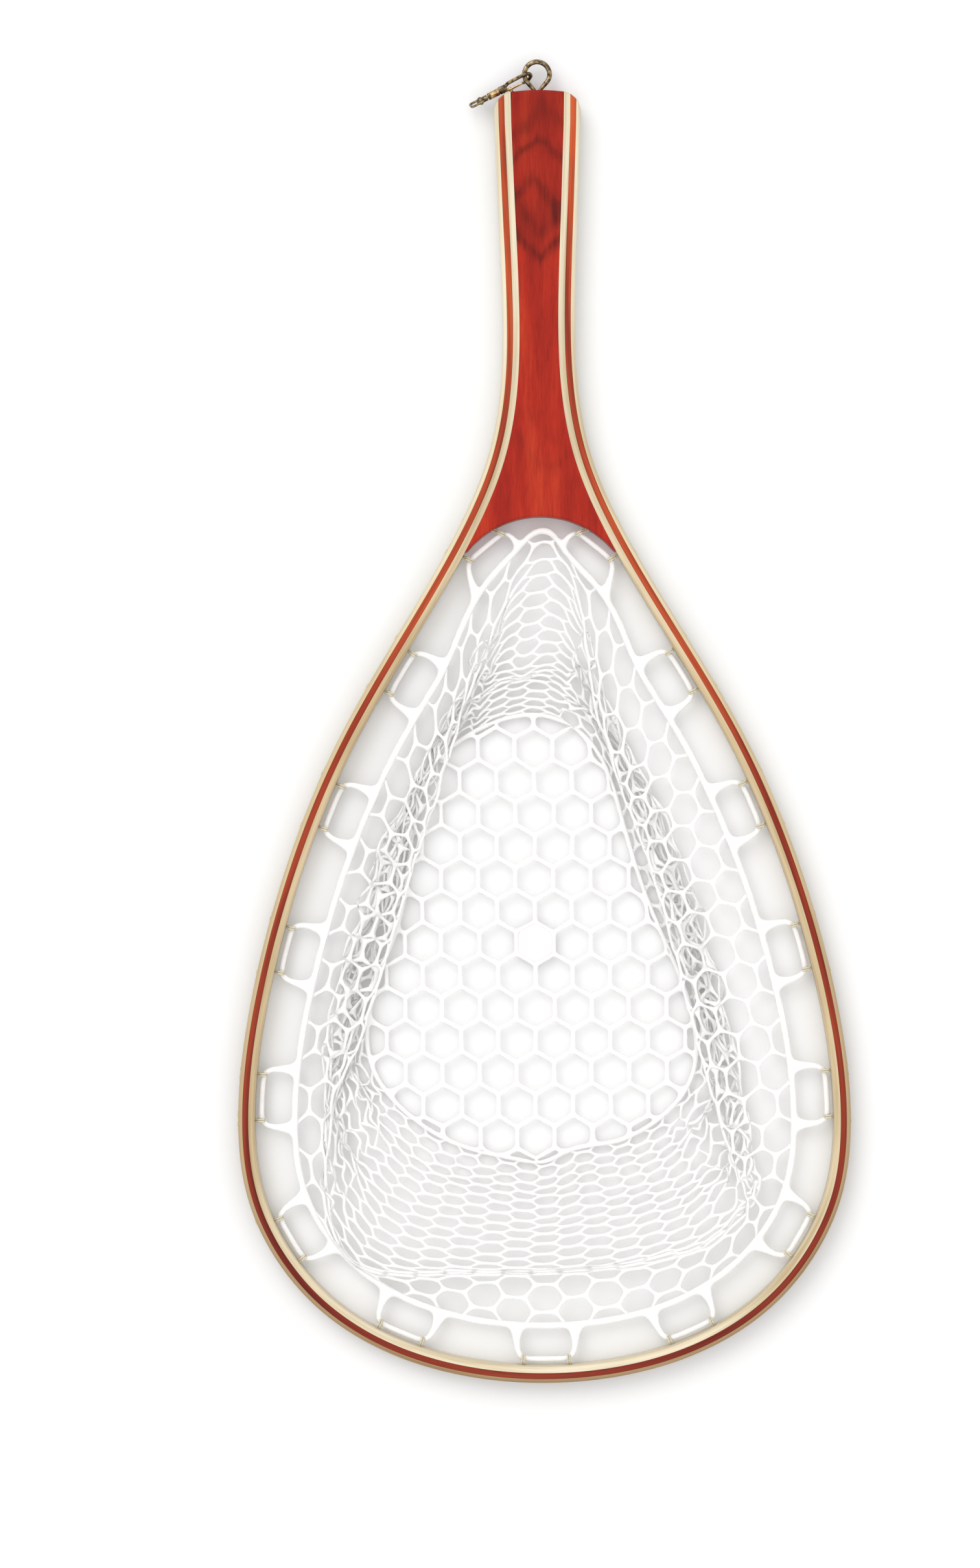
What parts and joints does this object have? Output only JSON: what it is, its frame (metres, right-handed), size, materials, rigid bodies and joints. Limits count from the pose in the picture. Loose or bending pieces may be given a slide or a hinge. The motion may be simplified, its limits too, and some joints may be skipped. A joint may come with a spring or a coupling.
{
  "type": "landing net",
  "caption": "Hand landing net: laminated teardrop hoop and handle, laced honeycomb rubber bag, screw eye and swivel snap.",
  "frame": {"origin": "centre of the underside of the whole net's bounding box, as it lies flat with its mouth facing up", "axes": "+Y along the handle towards the screw eye, +Z out of the hoop's mouth, +X to the right seen from above"},
  "size_m": [0.294, 0.6356, 0.013],
  "materials": {
    "white_ash": "satin varnish",
    "tan_ash": "satin varnish",
    "redwood": "satin varnish",
    "handle_red": "satin varnish",
    "clear_rubber": "moulded, translucent",
    "lacing": "braided",
    "eye_brass": "antique plated",
    "dark_brass": "antique plated",
    "bright_brass": "worn plating"
  },
  "bodies": {
    "frame": {"outer_lamination": "white_ash", "middle_lamination": "redwood", "inner_lamination": "tan_ash", "handle_core": "handle_red", "screw_eye": "eye_brass", "lacing_cord": "lacing", "bag_rim": "clear_rubber", "bag_wall": "clear_rubber"},
    "bag_floor": {"bag_base": "clear_rubber"},
    "snap": {"snap_body": "dark_brass", "gate_pin": "bright_brass", "gate_spring": "bright_brass", "swivel_post": "dark_brass"},
    "gate": {"snap_gate": "bright_brass"},
    "bail": {"swivel_bail": "dark_brass"}
  },
  "joints": [
    {"name": "bag_drop", "type": "slide", "parent": "frame", "child": "bag_floor", "axis": [0, 0, -1], "range_m": [0, 0.24], "deforming": ["bag_wall"]},
    {"name": "snap_swing", "type": "hinge", "parent": "frame", "child": "snap", "pos_m": [0, 0.31065, 0.0065], "axis": [0, 0, 1], "range_deg": [-220, 0]},
    {"name": "gate_open", "type": "hinge", "parent": "snap", "child": "gate", "pos_m": [-0.01637, 0.30327, 0.00587], "axis": [0.4115, -0.8075, 0.4226], "range_deg": [0, 22], "stiffness_Nm_per_rad": 0.02},
    {"name": "bail_spin", "type": "hinge", "parent": "snap", "child": "bail", "pos_m": [-0.00582, 0.30898, 0.0065], "axis": [-0.891, -0.454, 0], "continuous": true}
  ]
}
